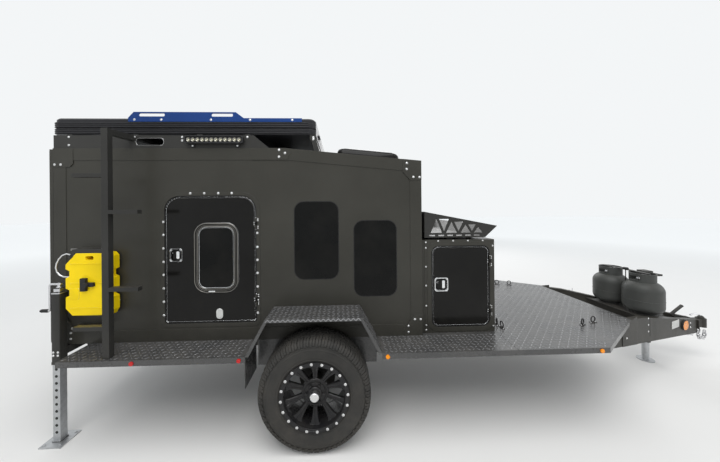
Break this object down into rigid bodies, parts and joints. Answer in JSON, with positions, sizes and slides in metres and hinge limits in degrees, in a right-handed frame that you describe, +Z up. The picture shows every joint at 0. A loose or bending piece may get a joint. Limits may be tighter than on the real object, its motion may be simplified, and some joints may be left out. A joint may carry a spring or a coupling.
{
  "type": "teardrop trailer",
  "caption": "Off-road teardrop trailer with side doors, rear hatch, hard-shell roof tent, tread-plate deck, storage box and gas bottles on the tongue, standing on its jacks.",
  "frame": {"origin": "on the ground below the middle of the trailer's overall box", "axes": "+X forward towards the coupler, +Y to the left, +Z up"},
  "size_m": [6.13, 1.94, 2.402],
  "materials": {
    "body_black": "satin charcoal paint",
    "door_black": "gloss black paint",
    "frame_black": "textured black powder coat",
    "deck_tread": "worn black tread plate",
    "tongue_grey": "grey powder coat",
    "bright_steel": "zinc plated",
    "tyre": "black rubber",
    "wheel_black": "satin black",
    "dark_glass": "tinted acrylic",
    "tent_shell": "black coated",
    "rail_blue": "blue anodised",
    "container_yellow": "moulded",
    "black_plastic": "moulded",
    "fabric": "woven cover",
    "board": "ply board",
    "rubber": "black rubber",
    "bottle_grey": "grey enamel",
    "lens_amber": "clear amber",
    "lens_red": "clear red"
  },
  "bodies": {
    "trailer": {"chassis_rails": "frame_black", "chassis_crossmembers": "frame_black", "tongue_beams": "tongue_grey", "coupler": "frame_black", "safety_chains": "bright_steel", "tongue_jack_tube": "tongue_grey", "rear_jack_tubes": "frame_black", "gas_bottles": "bottle_grey", "bottle_tray": "frame_black", "deck_plates": "deck_tread", "fenders": "deck_tread", "trailing_arms": "frame_black", "air_springs": "rubber", "cabin_floor": "body_black", "cabin_front_wall": "body_black", "cabin_roof": "body_black", "cabin_side_right": "body_black", "cabin_side_left": "body_black", "side_windows": "dark_glass", "edge_trim": "body_black", "galley_unit": "board", "mattresses": "fabric", "storage_box": "body_black", "storage_basket": "frame_black", "roof_rack": "frame_black", "light_bars": "black_plastic", "roof_vent": "black_plastic", "tent_base": "tent_shell", "ladder": "frame_black", "fuel_container": "container_yellow", "container_mount": "black_plastic", "amber_lamps": "lens_amber", "red_lamps": "lens_red"},
    "wheel_right": {"tyre_right": "tyre", "wheel_right": "wheel_black"},
    "wheel_left": {"tyre_left": "tyre", "wheel_left": "wheel_black"},
    "cabin_door_right": {"cabin_door_right": "door_black", "door_window_right": "dark_glass"},
    "cabin_door_left": {"cabin_door_left": "door_black", "door_window_left": "dark_glass"},
    "rear_hatch": {"rear_hatch": "body_black"},
    "box_door_right": {"box_door_right": "door_black"},
    "box_door_left": {"box_door_left": "door_black"},
    "tent_lid": {"tent_lid": "tent_shell", "tent_rails": "rail_blue"},
    "tongue_jack_leg": {"tongue_jack_leg": "bright_steel"},
    "rear_jack_leg_right": {"rear_jack_leg_right": "bright_steel"},
    "rear_jack_leg_left": {"rear_jack_leg_left": "bright_steel"}
  },
  "joints": [
    {"name": "wheel_right_spin", "type": "hinge", "parent": "trailer", "child": "wheel_right", "pos_m": [-1.08, -0.845, 0.388], "axis": [0, 1, 0], "continuous": true},
    {"name": "wheel_left_spin", "type": "hinge", "parent": "trailer", "child": "wheel_left", "pos_m": [-1.08, 0.845, 0.388], "axis": [0, 1, 0], "continuous": true},
    {"name": "cabin_door_right_hinge", "type": "hinge", "parent": "trailer", "child": "cabin_door_right", "pos_m": [-1.5395, -0.7086, 1.28], "axis": [0, 0, 1], "range_deg": [0, 90]},
    {"name": "cabin_door_left_hinge", "type": "hinge", "parent": "trailer", "child": "cabin_door_left", "pos_m": [-1.5395, 0.7086, 1.28], "axis": [0, 0, -1], "range_deg": [0, 90]},
    {"name": "rear_hatch_hinge", "type": "hinge", "parent": "trailer", "child": "rear_hatch", "pos_m": [-3.048, 0, 2.1336], "axis": [0, 1, 0], "range_deg": [0, 90]},
    {"name": "box_door_right_hinge", "type": "hinge", "parent": "trailer", "child": "box_door_right", "pos_m": [0.2925, -0.6786, 1.036], "axis": [0, 0, 1], "range_deg": [0, 110]},
    {"name": "box_door_left_hinge", "type": "hinge", "parent": "trailer", "child": "box_door_left", "pos_m": [0.2925, 0.6786, 1.036], "axis": [0, 0, -1], "range_deg": [0, 110]},
    {"name": "tent_lid_hinge", "type": "hinge", "parent": "trailer", "child": "tent_lid", "pos_m": [-1.0724, 0, 2.2795], "axis": [0, 1, 0], "range_deg": [0, 35]},
    {"name": "tongue_jack_slide", "type": "slide", "parent": "trailer", "child": "tongue_jack_leg", "axis": [0, 0, 1], "range_m": [0, 0.15]},
    {"name": "rear_jack_right_slide", "type": "slide", "parent": "trailer", "child": "rear_jack_leg_right", "axis": [0, 0, 1], "range_m": [0, 0.3]},
    {"name": "rear_jack_left_slide", "type": "slide", "parent": "trailer", "child": "rear_jack_leg_left", "axis": [0, 0, 1], "range_m": [0, 0.3]}
  ]
}
